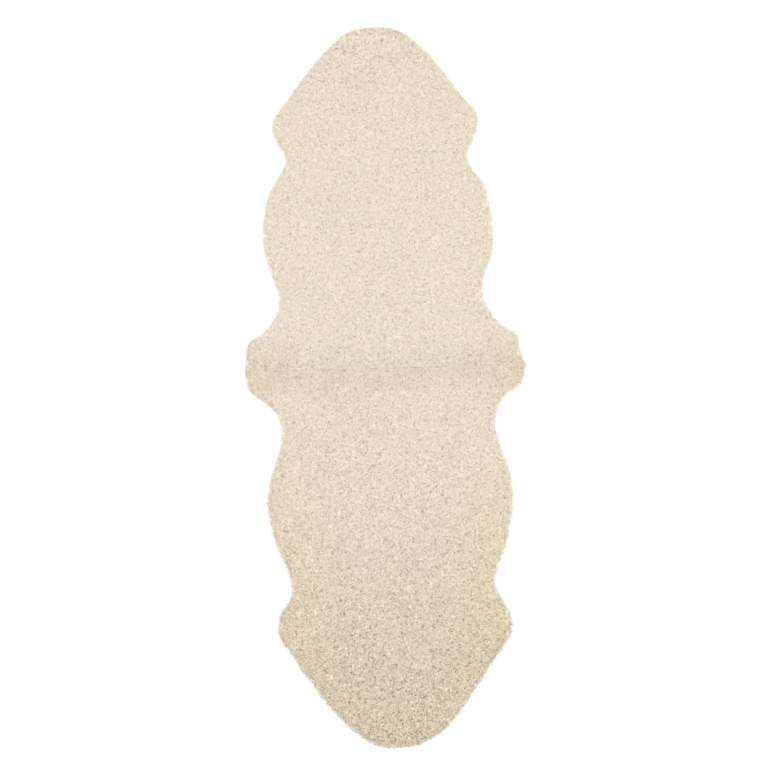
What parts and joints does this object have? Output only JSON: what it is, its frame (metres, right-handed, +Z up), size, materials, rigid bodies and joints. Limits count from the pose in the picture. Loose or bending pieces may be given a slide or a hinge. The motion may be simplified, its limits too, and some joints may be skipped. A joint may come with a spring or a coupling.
{
  "type": "double sheepskin rug",
  "caption": "Flat rug of curled cream wool on the skin: pelts sewn end to end at the hind legs, their heads pointing outwards.",
  "frame": {"origin": "on the floor, under the middle of the rug's bounding box", "axes": "+Y along the rug towards the smaller pelt's head, +X across the rug to the right, +Z up out of the wool"},
  "size_m": [0.6995, 1.7999, 0.022],
  "materials": {
    "wool": "matte",
    "hide": "matte",
    "thread": "matte"
  },
  "bodies": {
    "root": {"pelt_far": "wool", "pelt_near": "wool"}
  },
  "joints": []
}
